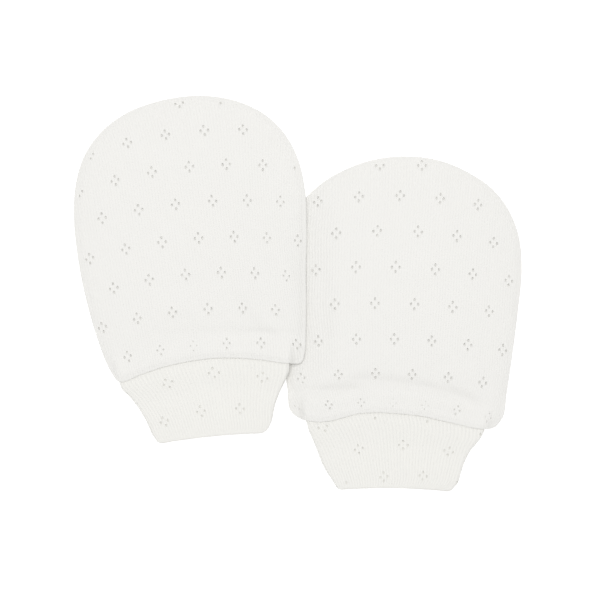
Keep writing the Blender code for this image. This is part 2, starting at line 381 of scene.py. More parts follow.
def smooth_loop(points, steps):
    """A closed curve through the points: cubic pieces whose slopes agree where they meet."""
    start = np.array(points, float)
    end = np.roll(start, -1, axis=0)
    length = np.linalg.norm(end - start, axis=1)[:, None]
    slope = (end - start) / length
    before = np.roll(length, 1, axis=0)
    tangent = (np.roll(slope, 1, axis=0) * length + slope * before) / (before + length)
    slopes = (tangent, np.roll(tangent, -1, axis=0))
    pieces = [cubic(start, end, slopes, length, share) for share in np.arange(steps) / steps]
    return np.stack(pieces, axis=1).reshape(-1, 2)


def outline(mitten):
    """A panel's sewn edge, counter-clockwise: up the right side, over the dome and down to the wrist."""
    right = [(row.right, row.along) for row in mitten.body]
    left = [(row.left, row.along) for row in reversed(mitten.body)]
    wrist = [(row.across, row.along) for row in reversed(mitten.seam)]
    return smooth_loop(right + left + wrist, OUTLINE_STEPS)


def evenly(loop, spacing):
    """Points at equal distances round a closed curve."""
    closed = np.vstack([loop, loop[:1]])
    walked = np.concatenate([[0], np.cumsum(np.linalg.norm(np.diff(closed, axis=0), axis=1))])
    count = int(walked[-1] / spacing)
    stops = np.arange(count) * walked[-1] / count
    return np.column_stack([np.interp(stops, walked, closed[:, axis]) for axis in (0, 1)])


def moved_in(loop, inset):
    """A counter-clockwise loop, moved in from its own line."""
    tangent = np.roll(loop, -1, axis=0) - np.roll(loop, 1, axis=0)
    tangent = tangent / np.linalg.norm(tangent, axis=1)[:, None]
    return loop + inset * np.column_stack([-tangent[:, 1], tangent[:, 0]])


def distance_in(points, loop):
    """How far each point is from the closed curve, below zero outside it."""
    found = []
    start = loop[None]
    span = np.roll(loop, -1, axis=0)[None] - start
    for few in np.array_split(points, 1 + len(points) // POINTS_AT_ONCE):
        away = few[:, None] - start
        share = np.clip((away * span).sum(2) / (span * span).sum(2), 0, 1)
        nearest = np.linalg.norm(away - share[..., None] * span, axis=2).min(axis=1)
        above = away[..., 1] >= 0
        crosses = above != np.roll(above, -1, axis=1)
        rise = np.where(crosses, span[..., 1], 1)
        passes_right = away[..., 0] < span[..., 0] * away[..., 1] / rise
        inside = (crosses & passes_right).sum(axis=1) % 2 == 1
        found.append(np.where(inside, nearest, -nearest))
    return np.concatenate(found)


def at_inset(table, inset):
    """A profile's height at a distance in from the sewn edge."""
    return curve_through(column(table, "inset"), column(table, "height"), inset)


def seam_along(mitten, across):
    """Where the wrist seam lies."""
    return from_table(mitten.seam, "across", "along", across)


def cuff_side(mitten, across):
    """The distance in from the nearer side of the cuff's top end, below zero beside it."""
    top = mitten.cuff[0]
    return np.minimum(across - top.left, top.right - across)


def rounded_half(inset):
    """Half the cuff's thickness near its side, which is a half circle."""
    out = 1 - np.clip(inset, 0, CUFF_HALF) / CUFF_HALF
    return CUFF_HALF * np.sqrt(1 - out * out)


def blouse(mitten, points):
    """1 over the cuff's end, falling to 0 up the palm and out beside the cuff."""
    above = points[:, 1] - seam_along(mitten, points[:, 0]) - TUCK
    beside = -cuff_side(mitten, points[:, 0])
    return (1 - smooth_step(above / BLOUSE_LENGTH)) * (1 - smooth_step(beside / BLOUSE_SIDE))


def turned(points, degrees):
    """Points turned about the origin."""
    angle = np.radians(degrees)
    across, along = points[:, 0], points[:, 1]
    return np.column_stack(
        [across * np.cos(angle) - along * np.sin(angle), across * np.sin(angle) + along * np.cos(angle)]
    )


def to_pair(mitten, points):
    """Points of a mitten's own frame in the pair's."""
    return turned(points, mitten.turn) + np.array(mitten.place)


def from_pair(mitten, points):
    """Points of the pair's frame in a mitten's own."""
    return turned(points - np.array(mitten.place), -mitten.turn)


def lap(mitten, points):
    """How far the left mitten is raised where it climbs on to the right one's edge."""
    if mitten is RIGHT:
        return np.zeros(len(points))
    inset = distance_in(from_pair(RIGHT, points), outline(RIGHT))
    return LAP_HEIGHT * smooth_step((inset + LAP_RAMP) / (LAP_RAMP + LAP_END))


def pressed(mitten, points):
    """The share of the right mitten's palm that is pressed down by the left one on its edge."""
    if mitten is LEFT:
        return np.zeros(len(points))
    inset = distance_in(from_pair(LEFT, to_pair(RIGHT, points)), outline(LEFT))
    return PRESS_SHARE * smooth_step((inset + PRESS_REACH) / PRESS_REACH)


def placed(mitten, points, heights):
    """Points in metres, in the pair's frame, raised where the mitten laps over its neighbour."""
    flat = to_pair(mitten, points)
    return np.column_stack([flat, heights + lap(mitten, flat)]) * MM


def waves(points, seed):
    """Low uneven waves over the cloth."""
    chance = np.random.default_rng(seed)
    height = np.zeros(len(points))
    for _ in range(WAVES):
        length = chance.uniform(WAVE_SHORTEST, WAVE_LONGEST)
        way = chance.uniform(0, 2 * pi)
        phase = chance.uniform(0, 2 * pi)
        run = points[:, 0] * np.cos(way) + points[:, 1] * np.sin(way)
        height += WAVE_HEIGHT * np.sin(2 * pi * run / length + phase)
    return height


def creased(creases, points):
    """How deep the creases press the cloth in. Each is a curve through three points."""
    depth = np.zeros(len(points))
    for crease in creases:
        across, along = np.array([crease.start, crease.middle, crease.end], float).T
        line = np.polyval(np.polyfit(across, along, 2), points[:, 0])
        off = points[:, 1] - line
        width = np.where(off > 0, crease.above, crease.below)
        fade = (across[2] - across[0]) / CREASE_ENDS
        start = smooth_step((points[:, 0] - across[0]) / fade)
        end = smooth_step((across[2] - points[:, 0]) / fade)
        depth += crease.depth * np.exp(-((off / width) ** 2)) * (start * end)
    return depth


def swollen(swells, points):
    """The sum of the low rises and hollows in a table."""
    height = np.zeros(len(points))
    for swell in swells:
        across = (points[:, 0] - swell.across) / swell.width
        along = (points[:, 1] - swell.along) / swell.length
        height += swell.height * np.exp(-(across**2) - along**2)
    return height


def gathers(mitten, points):
    """Small uneven puckers where the palm is drawn in on to the cuff."""
    across = points[:, 0]
    above = np.maximum(points[:, 1] - seam_along(mitten, across), 0)
    over_cuff = smooth_step(cuff_side(mitten, across) / GATHER_SIDE)
    ripple = np.sin(across * RIPPLE_RATE + RIPPLE_DRIFT * np.sin(across * DRIFT_RATE))
    ripple = ripple + SECOND_RIPPLE * np.sin(across * SECOND_RATE + mitten.turn)
    return GATHER_HEIGHT * ripple * over_cuff * np.exp(-((above / GATHER_REACH) ** 2))


def draped_half(inset):
    """How far the palm stands over the cuff's middle, in one slope down past its side."""
    return CUFF_HALF * smooth_step((inset + CUFF_DRAPE) / (CUFF_DRAPE + DRAPE_END))


def cornered(mitten, points, inset):
    """1 but at the palm's two lower corners, where it falls to 0 at the sewn edge beside the cuff."""
    beside = smooth_step((-cuff_side(mitten, points[:, 0]) + CORNER_START) / CORNER_SPAN)
    return 1 - beside * (1 - smooth_step(inset / CORNER_FALL))


def front_face(mitten, points, inset):
    """Height of the front panel's face, with its creases, which fade out at the sewn edge."""
    over_cuff = WRIST_MIDDLE + draped_half(cuff_side(mitten, points[:, 0])) + PALM_GAP
    held = blouse(mitten, points) * cornered(mitten, points, inset)
    low = soft_max(at_inset(FRONT_PROFILE, inset), over_cuff * held, SOFTEN)
    low -= pressed(mitten, points) * np.maximum(low - FRONT_PROFILE[0].height, 0)
    drape = waves(points, SEED) + swollen(mitten.swells, points)
    fold = creased(mitten.creases, points) * smooth_step(inset / FOLD_FADE)
    drawn_down = SEAM_SLOPE * held * np.exp(-((inset / SEAM_SLOPE_REACH) ** 2))
    thickness = PANEL_TOP - SEAM_THINNING * (1 - smooth_step(inset / SEAM_THINNING_REACH))
    drape = drape * smooth_step(inset / DRAPE_FADE)
    return low + thickness - fold - drawn_down + drape + gathers(mitten, points)


def front_seam(mitten, points):
    """Height at which the front's rolled edge meets the seam: on the cuff, and on the back beside it."""
    beside = -cuff_side(mitten, points[:, 0])
    over_cuff = WRIST_MIDDLE + rounded_half(-beside) + PALM_GAP
    held = blouse(mitten, points)
    low = soft_max(np.full(len(points), FRONT_PROFILE[0].height), over_cuff * held, SOFTEN)
    closed = back_seam(mitten, points) + SEAM_GAP
    apart = low - SEAM_DROP * held - closed
    return closed + np.maximum(apart, 0) * (1 - smooth_step(beside / SEAM_CLOSING))


def back_face(mitten, points, inset):
    """Height of the back's face, flat on the ground but for its edge and a few creases pressed up."""
    under_cuff = WRIST_MIDDLE - rounded_half(cuff_side(mitten, points[:, 0])) - REST_GAP
    turned_up = under_cuff * blouse(mitten, points) * (1 - smooth_step(inset / UPTURN))
    low = np.maximum(np.maximum(at_inset(BACK_PROFILE, inset), 0), turned_up - PANEL_TOP)
    fold = creased(mitten.creases, points) * smooth_step(inset / FOLD_FADE)
    wave = BACK_WAVES * waves(points, SEED + 1) * smooth_step(inset / DRAPE_FADE)
    return low + np.maximum(BACK_FOLDS * fold + wave, 0)


def back_seam(mitten, points):
    """Height at which the back panel's rolled edge meets the seam."""
    return back_face(mitten, points, np.zeros(len(points))) + SEAM_WALL


def wales_at(knit, level):
    """The middle line, the spread and the squeeze of the wales at each level."""
    return [from_table(knit.rows, "along", name, level) for name in ("middle", "stretch", "squeeze")]


def droop(knit, across, level):
    """How far a course lies below its own level, away from the middle."""
    bow, tilt = [from_table(knit.rows, "along", name, level) for name in ("bow", "tilt")]
    return bow * across**2 + tilt * across


def cloth_at(knit, points):
    """The wale and the level of each point. A level is the height at which a course crosses the middle."""
    across, along = points[:, 0], points[:, 1]
    level = along
    for _ in range(LEVEL_ROUNDS):
        level = along + droop(knit, across, level)
    middle, stretch, squeeze = wales_at(knit, level)
    spread = across + squeeze * np.maximum(across - SQUEEZE_START, 0) ** 2
    return np.column_stack([(spread - middle) / stretch, level])


def cloth_laid(knit, cloth):
    """The point at which each wale and level lies."""
    wale, level = cloth[:, 0], cloth[:, 1]
    middle, stretch, squeeze = wales_at(knit, level)
    spread = middle + stretch * wale
    past = np.maximum(spread - SQUEEZE_START, 0)
    across = np.minimum(spread, SQUEEZE_START) + 2 * past / (1 + np.sqrt(1 + 4 * squeeze * past))
    return np.column_stack([across, level - droop(knit, across, level)])


def courses_at(knit, level):
    """How far up the cloth a level is, in the cloth's own millimetres."""
    numbers = knit.first + np.arange(len(knit.rows))
    return ROW_PITCH * curve_through(column(knit.rows, "along"), numbers.astype(float), level)


def knit_grid(mitten, step):
    """Points in rows and columns that follow the wales, over the whole of a panel's reach."""
    edge = cloth_at(mitten.knit, outline(mitten))
    low, high = np.floor(edge.min(0)) - 1, np.ceil(edge.max(0)) + 1
    wales = np.arange(low[0] * WALE_COLUMNS, high[0] * WALE_COLUMNS + 1) / WALE_COLUMNS
    levels = np.arange(low[1], high[1], step)
    cloth = np.stack(np.meshgrid(wales, levels), axis=-1).reshape(-1, 2)
    return cloth_laid(mitten.knit, cloth)


def square_grid(loop, spacing):
    """Points in plain rows and columns over a loop's reach."""
    sides = [np.arange(*reach, spacing) for reach in zip(loop.min(0), loop.max(0))]
    return np.stack(np.meshgrid(*sides), axis=-1).reshape(-1, 2)


def filled(loop, points, scale):
    """Triangles over a loop and the points inside it. Scale evens out the spacing of the points."""
    flat = np.vstack([loop, points]) / scale
    corners = [Vector(point) for point in flat]
    made = delaunay_2d_cdt(corners, [], [list(range(len(loop)))], 1, SAME_POINT)
    if len(made[0]) != len(corners):
        raise ValueError("a panel's points fell together")
    return [tuple(face) for face in made[2]]


def shell_mesh(name, points, faces, from_edge, openness, ribbing):
    """A closed shell, with what the ribs and the eyelets need to know at each point."""
    mesh = bpy.data.meshes.new(name)
    mesh.from_pydata(points.tolist(), [], faces)
    for label, values in (("from_edge", from_edge * MM), ("openness", openness), ("ribbing", ribbing)):
        attribute = mesh.attributes.new(label, "FLOAT", "POINT")
        attribute.data.foreach_set("value", values.astype(np.float32))
    mesh.shade_smooth()
    return mesh


def map_knit(mesh, cloth, corners):
    """The UV map, which holds the cloth's own frame."""
    uv_map = mesh.uv_layers.new(name=KNIT_MAP)
    uv_map.uv.foreach_set("vector", (cloth[corners] * MM).astype(np.float32).ravel())


def face_and_inside(mitten, loop, face, wall, step):
    """The points, insets and heights of a panel's face and of its inner face. Each begins with a rim."""
    sides = []
    for more, first, margin, thickness in (
        (knit_grid(mitten, step), LIPS[0].inset, FACE_MARGIN, 0),
        (square_grid(outline(mitten), INSIDE_SPACING), INNER_INSET, INNER_MARGIN, wall),
    ):
        inset = distance_in(more, loop)
        kept = inset > first + margin
        points = np.vstack([moved_in(loop, first), more[kept]])
        inset = np.concatenate([np.full(len(loop), first), inset[kept]])
        sides.append((points, inset, face(mitten, points, inset) - thickness))
    return sides


def panel_mesh(mitten, name, face, seam, wall, step):
    """A panel: its face, an edge rolled in to the seam and an inner face. A wall below zero is a back."""
    loop = evenly(outline(mitten), EDGE_SPACING)
    count = len(loop)
    outer, inner = face_and_inside(mitten, loop, face, wall, step)
    face_points, face_inset, face_heights = outer
    inner_points, _, inner_heights = inner

    top, seam_heights = face_heights[:count], seam(mitten, loop)
    points = [placed(mitten, face_points, face_heights)]
    flat = [face_points]
    for lip in LIPS[1:]:
        flat.append(moved_in(loop, lip.inset))
        points.append(placed(mitten, flat[-1], top + (seam_heights - top) * lip.drop))
    points.append(placed(mitten, inner_points, inner_heights))
    flat = np.vstack(flat + [inner_points])

    rim, grid = face_points[:count], face_points[count:]
    evened = (1 / WALE_COLUMNS, step)
    faces = filled(cloth_at(mitten.knit, rim), cloth_at(mitten.knit, grid), evened)
    starts = [0] + [len(face_points) + count * ring for ring in range(len(LIPS))]
    for near, far in zip(starts, starts[1:]):
        for i, j in enumerate([*range(1, count), 0]):
            faces.append((near + i, far + i, far + j, near + j))
    inside = filled(inner_points[:count], inner_points[count:], 1)
    faces += [tuple(starts[-1] + corner for corner in triangle[::-1]) for triangle in inside]
    if wall < 0:
        faces = [corners[::-1] for corners in faces]

    from_edge = np.zeros(len(flat))
    from_edge[: len(face_points)] = face_inset
    openness = 1 - swollen(mitten.closed_rows, flat) if wall > 0 else np.ones(len(flat))
    ribbing = PALM_RIBBING + EDGE_RIBBING * np.exp(-((from_edge / RIBBED_EDGE) ** 2))
    ribbing += swollen(mitten.ribbed_places, flat)
    mesh = shell_mesh(name, np.vstack(points), faces, from_edge, openness, ribbing)
    cloth = cloth_at(mitten.knit, flat)
    cloth = np.column_stack([cloth[:, 0] * WALE, courses_at(mitten.knit, cloth[:, 1])])
    map_knit(mesh, cloth, np.concatenate(faces))
    return mesh


def stadium(width, half, share):
    """Points round a flattened tube, from its left side over the top: how far across and how high."""
    flat = max(width - 2 * half, 0)
    side = pi * half / 2
    whole = 2 * flat + 4 * side
    run = (share % 1) * whole
    first = run < whole / 2
    run = np.where(first, run, run - whole / 2)
    right_turn = np.where(run > side + flat, 2 - (whole / 2 - run) / side, 1)
    angle = np.where(run < side, run / side, right_turn) * pi / 2
    middle = np.clip(run - side, 0, flat) - flat / 2
    off = middle - half * np.cos(angle)
    height = half * np.sin(angle)
    return np.where(first, off, -off), np.where(first, height, -height)


def rounded_corner(reach, inset):
    """How far a rounded corner lifts the hem, at a distance in from the cuff's side."""
    short = np.clip(1 - inset / reach, 0, 1)
    return reach * (1 - np.sqrt(1 - short**2))


def cuff_ring(mitten, along, depth):
    """One ring of the cuff, at a depth in its wall: flat points, heights and cloth coordinates."""
    knit = mitten.cuff_knit
    count = 2 * knit.wales * WALE_COLUMNS
    hem, top = mitten.cuff[-1].along, mitten.cuff[0].along
    left = from_table(mitten.cuff, "along", "left", along) + depth
    right = from_table(mitten.cuff, "along", "right", along) - depth
    wale = np.arange(count + 1) / WALE_COLUMNS
    up = along - knit.along
    leaning = -(knit.lean + knit.curl * up) * up
    off, thick = stadium(right - left, CUFF_HALF - depth, (wale + leaning) / (2 * knit.wales))
    across = (left + right) / 2 + off
    share = (top - along) / (top - hem)
    hem_bend = mitten.hem_arch * (1 - (across / right) ** 2) + mitten.hem_tilt * across / right
    seam_bend = seam_along(mitten, across) - top + TUCK
    left_corner, right_corner = mitten.hem_corners
    lifted = rounded_corner(left_corner, across - left) + rounded_corner(right_corner, right - across)
    bent = along + (1 - share) * seam_bend + share * hem_bend + share**3 * lifted
    risen = (bent - seam_along(mitten, across) + CUFF_SLOPE_START) / (CUFF_SLOPE_START - CUFF_SLOPE_END)
    height = CUFF_HALF + CUFF_CLEAR + (WRIST_MIDDLE - CUFF_HALF - CUFF_CLEAR) * smooth_step(risen)
    bow = knit.bow - knit.flatten * up
    course = (up + bow * (across - knit.bow_middle) ** 2) * ROW_PITCH / knit.spacing
    points = np.column_stack([across, bent])
    return points, height + thick, np.column_stack([(wale - knit.middle) * WALE, course])


def cuff_rows(mitten):
    """Where the cuff's rings lie, and how deep in its wall: down the face, round the hem and back up."""
    hem, top = mitten.cuff[-1].along, mitten.cuff[0].along
    bend = CUFF_WALL / 2
    start = top - bend
    stop = hem + bend
    outside = np.linspace(start, stop, int((start - stop) / CUFF_ROW_STEP))
    inside = np.linspace(stop, start, CUFF_INSIDE_ROWS)
    turn = np.linspace(0, pi, CUFF_TURN_ROWS)[1:-1]
    rows = [(along, 0) for along in outside]
    rows += [(stop - bend * np.sin(angle), bend - bend * np.cos(angle)) for angle in turn]
    rows += [(along, CUFF_WALL) for along in inside]
    rows += [(start + bend * np.sin(angle), bend + bend * np.cos(angle)) for angle in turn]
    return rows, len(outside)


def cuff_mesh(mitten, name):
    """The folded band as one closed shell of rings, its columns of points following the wales."""
    rows, outside = cuff_rows(mitten)
    rings = [cuff_ring(mitten, along, depth) for along, depth in rows]
    count = len(rings[0][0]) - 1
    points = np.vstack([placed(mitten, flat[:-1], heights[:-1]) for flat, heights, _ in rings])
    cloth = np.vstack([coordinates for _, _, coordinates in rings])
    ring, i = np.divmod(np.arange(len(rings) * count), count)
    below, j = (ring + 1) % len(rings), (i + 1) % count
    faces = np.column_stack([ring * count + i, below * count + i, below * count + j, ring * count + j])
    near, far = ring * (count + 1) + i, below * (count + 1) + i
    corners = np.column_stack([near, far, far + 1, near + 1])
    alongs = np.array([along for along, _ in rows])
    hem, top = alongs[outside - 1], alongs[0]
    from_edge = np.minimum(alongs - hem, top - alongs)
    from_edge[outside:] = 0
    below_seam = np.repeat(top - alongs, count)
    ribbing = CUFF_RIBBING + WRIST_RIBBING * np.exp(-((below_seam / RIBBED_WRIST) ** 2))
    openness = np.ones(len(points))
    mesh = shell_mesh(name, points, faces.tolist(), np.repeat(from_edge, count), openness, ribbing)
    map_knit(mesh, cloth, corners.ravel())
    return mesh


def set_inputs(node, inputs):
    """Gives a node's inputs a value, or a link from another node's socket."""
    for name, value in inputs.items():
        if isinstance(value, bpy.types.NodeSocket):
            node.id_data.links.new(value, node.inputs[name])
        else:
            node.inputs[name].default_value = value


def add_node(tree, kind, inputs=None, **settings):
    """Adds a node and sets its properties and inputs."""
    node = tree.nodes.new(kind)
    for name, value in settings.items():
        setattr(node, name, value)
    set_inputs(node, inputs or {})
    return node


def geometry(tree, kind, inputs=None, **settings):
    """The first output of one of the nodes that are for geometry only."""
    return add_node(tree, f"GeometryNode{kind}", inputs, **settings).outputs[0]


def maths(tree, operation, first, second=0.0):
    """One sum of two numbers, in either kind of tree."""
    return add_node(tree, "ShaderNodeMath", {0: first, 1: second}, operation=operation).outputs[0]


def times(tree, first, second):
    """A product of two numbers."""
    return maths(tree, "MULTIPLY", first, second)


def vector_maths(tree, operation, first, second):
    """One sum of two vectors, or of a vector and a scale."""
    other = "Scale" if operation == "SCALE" else 1
    node = add_node(tree, "ShaderNodeVectorMath", {0: first, other: second}, operation=operation)
    return node.outputs[0]


def parts_of(tree, vector):
    """A vector's X, Y and Z."""
    return add_node(tree, "ShaderNodeSeparateXYZ", {0: vector}).outputs


def vector_of(tree, **parts):
    """A vector from its X, Y and Z."""
    return add_node(tree, "ShaderNodeCombineXYZ", parts).outputs[0]


TREE_INPUTS = (
    ("Geometry", ("Cloth",)),
    ("Float", ("Wale", "Rib Depth", "Repeat", "Row Pitch", "Spread Across", "Spread Along")),
    ("Float", ("Hole Width", "Hole Length", "Cut Depth", "Yarn", "Yarn Rise")),
    ("Float", ("Edge Margin", "Unevenness")),
    ("Int", ("Seed",)),
    ("Material", ("Material",)),
)


def named(tree, name, kind="FLOAT"):
    """A value held by the shell or by the eyelets."""
    return geometry(tree, "InputNamedAttribute", {"Name": name}, data_type=kind)


def ribbed(tree, given):
    """The cloth with a valley pressed in between each two wales of its face."""
    face = maths(tree, "GREATER_THAN", named(tree, "from_edge"), 0.0)
    across = parts_of(tree, named(tree, KNIT_MAP, "FLOAT_VECTOR"))["X"]
    turn = times(tree, maths(tree, "DIVIDE", across, given["Wale"]), 2 * pi)
    # 0 on a rib's crown and -1 in a valley.
    valley = maths(tree, "MULTIPLY_ADD", maths(tree, "COSINE", turn), 0.5)
    valley.node.inputs[2].default_value = -0.5
    depth = times(tree, times(tree, valley, given["Rib Depth"]), face)
    depth = times(tree, depth, named(tree, "ribbing"))
    normal = geometry(tree, "InputNormal")
    offset = vector_maths(tree, "SCALE", normal, depth)
    return geometry(tree, "SetPosition", {"Geometry": given["Cloth"], "Offset": offset})


def sampled(tree, face, value, where, kind):
    """A value of the cloth's face at a place of its knit, and whether there is any cloth there."""
    knit = named(tree, KNIT_MAP, "FLOAT_VECTOR")
    inputs = {"Mesh": face, "Value": value, "UV Map": knit, "Sample UV": where}
    return add_node(tree, "GeometryNodeSampleUVSurface", inputs, data_type=kind).outputs


def random_vector(tree, given, reach):
    """A fixed random vector for each point, up to a reach either way."""
    limits = {0: (-reach,) * 3, 1: (reach,) * 3, "Seed": given["Seed"]}
    return add_node(tree, "FunctionNodeRandomValue", limits, data_type="FLOAT_VECTOR").outputs[0]


def eyelet_points(tree, given):
    """The points of each diamond of the half-drop repeat, still in the cloth's own frame."""
    half = times(tree, given["Repeat"], 0.5)
    pitch = given["Row Pitch"]
    lattice = {
        "Size X": times(tree, half, LATTICE_COLUMNS),
        "Size Y": times(tree, pitch, LATTICE_ROWS),
        "Vertices X": LATTICE_COLUMNS + 1,
        "Vertices Y": LATTICE_ROWS + 1,
    }
    place = parts_of(tree, geometry(tree, "InputPosition"))
    columns = maths(tree, "ROUND", maths(tree, "DIVIDE", place["X"], half))
    rows = maths(tree, "ROUND", maths(tree, "DIVIDE", place["Y"], pitch))
    # Every other point of the grid is dropped. An even number keeps the sum over zero.
    both = maths(tree, "ADD", maths(tree, "ADD", columns, rows), 4.0 * LATTICE_ROWS)
    odd = maths(tree, "GREATER_THAN", maths(tree, "MODULO", both, 2.0), 0.5)
    grid = geometry(tree, "MeshGrid", lattice)
    kept = geometry(tree, "DeleteGeometry", {"Geometry": grid, "Selection": odd})
    copies = {"Geometry": geometry(tree, "MeshToPoints", {"Mesh": kept}), "Amount": DIAMOND_HOLES}
    holes = add_node(tree, "GeometryNodeDuplicateElements", copies, domain="POINT")
    angle = times(tree, holes.outputs["Duplicate Index"], 2 * pi / DIAMOND_HOLES)
    off = vector_of(
        tree,
        X=times(tree, maths(tree, "COSINE", angle), given["Spread Across"]),
        Y=times(tree, maths(tree, "SINE", angle), given["Spread Along"]),
    )
    nudge = vector_maths(tree, "SCALE", random_vector(tree, given, HOLE_NUDGE), MM)
    off = vector_maths(tree, "ADD", off, nudge)
    return geometry(tree, "SetPosition", {"Geometry": holes.outputs["Geometry"], "Offset": off})


def laid_eyelets(tree, given):
    """The eyelets that fall on open cloth, laid where it lies, with the values that shape them."""
    inside = maths(tree, "LESS_THAN", named(tree, "from_edge"), FACE_BEGINS)
    face = geometry(tree, "DeleteGeometry", {"Geometry": given["Cloth"], "Selection": inside})
    points = eyelet_points(tree, given)
    where = geometry(tree, "InputPosition")
    place = geometry(tree, "InputPosition")
    up_the_wale = vector_maths(tree, "ADD", where, (0, UP_THE_WALE * MM, 0))
    normal = geometry(tree, "InputNormal")
    spot = sampled(tree, face, place, where, "FLOAT_VECTOR")
    ahead = sampled(tree, face, place, up_the_wale, "FLOAT_VECTOR")
    facing = sampled(tree, face, normal, where, "FLOAT_VECTOR")
    margin = sampled(tree, face, named(tree, "from_edge"), where, "FLOAT")
    opened = sampled(tree, face, named(tree, "openness"), where, "FLOAT")
    clear = maths(tree, "GREATER_THAN", margin["Value"], given["Edge Margin"])
    clear = times(tree, clear, times(tree, spot["Is Valid"], ahead["Is Valid"]))
    clear = times(tree, clear, maths(tree, "GREATER_THAN", opened["Value"], LEAST_OPEN))
    way = vector_maths(tree, "SUBTRACT", ahead["Value"], spot["Value"])
    axes = {"Primary Axis": facing["Value"], "Secondary Axis": way}
    turn = add_node(tree, "FunctionNodeAxesToRotation", axes, primary_axis="Z", secondary_axis="Y")
    for name, kind, value in (
        ("turn", "QUATERNION", turn.outputs[0]),
        ("clear", "FLOAT", clear),
        ("opened", "FLOAT", opened["Value"]),
        ("spot", "FLOAT_VECTOR", spot["Value"]),
    ):
        stored = {"Geometry": points, "Name": name, "Value": value}
        points = geometry(tree, "StoreNamedAttribute", stored, data_type=kind)
    spot = named(tree, "spot", "FLOAT_VECTOR")
    laid = geometry(tree, "SetPosition", {"Geometry": points, "Position": spot})
    off_cloth = maths(tree, "LESS_THAN", named(tree, "clear"), 0.5)
    return geometry(tree, "DeleteGeometry", {"Geometry": laid, "Selection": off_cloth})


def hole_size(tree, given):
    """An eyelet's size, which is uneven, and smaller where the cloth is pulled shut."""
    uneven = vector_maths(tree, "SCALE", random_vector(tree, given, 1), given["Unevenness"])
    uneven = vector_maths(tree, "ADD", uneven, (1, 1, 1))
    uneven = vector_maths(tree, "SCALE", uneven, named(tree, "opened"))
    hole = vector_of(tree, X=given["Hole Width"], Y=given["Hole Length"], Z=given["Cut Depth"])
    return vector_maths(tree, "MULTIPLY", hole, uneven)


def at_eyelets(tree, points, shape, size):
    """The same small shape set on each eyelet and made real."""
    turn = named(tree, "turn", "QUATERNION")
    shapes = {"Points": points, "Instance": shape, "Rotation": turn, "Scale": size}
    return geometry(tree, "RealizeInstances", {0: geometry(tree, "InstanceOnPoints", shapes)})


def circle(tree, steps, radius):
    """A round curve."""
    return geometry(tree, "CurvePrimitiveCircle", {"Resolution": steps, "Radius": radius}, mode="RADIUS")


def yarn_loop(tree, given):
    """The loop of yarn round a hole one wide."""
    strand = circle(tree, YARN_SIDES, maths(tree, "DIVIDE", given["Yarn"], given["Hole Width"]))
    curves = {"Curve": circle(tree, LOOP_STEPS, 0.5), "Profile Curve": strand}
    loop = geometry(tree, "CurveToMesh", curves)
    rise = vector_of(tree, Z=maths(tree, "DIVIDE", given["Yarn Rise"], given["Hole Width"]))
    return geometry(tree, "Transform", {"Geometry": loop, "Translation": rise})


def pointelle_tree():
    """Geometry Nodes that rib a shell along its wales and open its eyelets, a yarn drawn round each."""
    tree = bpy.data.node_groups.new("Pointelle Rib", "GeometryNodeTree")
    for kind, names in TREE_INPUTS:
        for name in names:
            tree.interface.new_socket(name, in_out="INPUT", socket_type=f"NodeSocket{kind}")
    tree.interface.new_socket("Cloth", in_out="OUTPUT", socket_type="NodeSocketGeometry")
    given = add_node(tree, "NodeGroupInput").outputs

    points = laid_eyelets(tree, given)
    size = hole_size(tree, given)
    # The punch is one wide and reaches one down, so that its scale is the size of the hole.
    punch = geometry(tree, "MeshCylinder", {"Vertices": PUNCH_SIDES, "Radius": 0.5, "Depth": 2.0})
    both = {"Mesh 1": ribbed(tree, given), "Mesh 2": at_eyelets(tree, points, punch, size)}
    opened_cloth = geometry(tree, "MeshBoolean", both, operation="DIFFERENCE", solver="MANIFOLD")
    around = parts_of(tree, vector_maths(tree, "MULTIPLY", size, LOOP_OVERSIZE))
    around = vector_of(tree, X=around["X"], Y=around["Y"], Z=around["X"])
    yarns = at_eyelets(tree, points, yarn_loop(tree, given), around)
    joined = add_node(tree, "GeometryNodeJoinGeometry")
    tree.links.new(opened_cloth, joined.inputs[0])
    tree.links.new(yarns, joined.inputs[0])
    real = geometry(tree, "RealizeInstances", {0: joined.outputs[0]})
    finished = geometry(tree, "SetMaterial", {"Geometry": real, "Material": given["Material"]})
    add_node(tree, "NodeGroupOutput", {0: finished})
    return tree


def new_object(name, data):
    """A new object, put in the scene."""
    made = bpy.data.objects.new(name, data)
    bpy.context.scene.collection.objects.link(made)
    return made


def knitted(mesh, tree, sizes):
    """Runs the knit's tree on a shell and gives the result as a plain object with no modifier."""
    source = new_object(mesh.name, mesh)
    modifier = source.modifiers.new("Pointelle Rib", "NODES")
    modifier.node_group = tree
    sockets = {item.name: item.identifier for item in tree.interface.items_tree if item.in_out == "INPUT"}
    for name, value in sizes.items():
        modifier[sockets[name]] = value
    evaluated = source.evaluated_get(bpy.context.evaluated_depsgraph_get())
    plain = bpy.data.meshes.new_from_object(evaluated)
    source.modifiers.remove(modifier)
    source.data = plain
    plain.name = mesh.name
    bpy.data.meshes.remove(mesh)
    for name in ("from_edge", "openness", "ribbing"):
        if name in plain.attributes:
            plain.attributes.remove(plain.attributes[name])
    plain.shade_smooth()
    plain.set_sharp_from_angle(angle=radians(SHARP_ANGLE))
    return source


def linear(code):
    """An sRGB hex colour as linear RGBA."""
    channels = [int(code[place : place + 2], 16) / 255 for place in (1, 3, 5)]
    return (*[c / 12.92 if c <= 0.04045 else ((c + 0.055) / 1.055) ** 2.4 for c in channels], 1)


def new_material(name):
    """A new material and its shader."""
    material = bpy.data.materials.new(name)
    material.use_nodes = True
    return material, material.node_tree.nodes["Principled BSDF"]


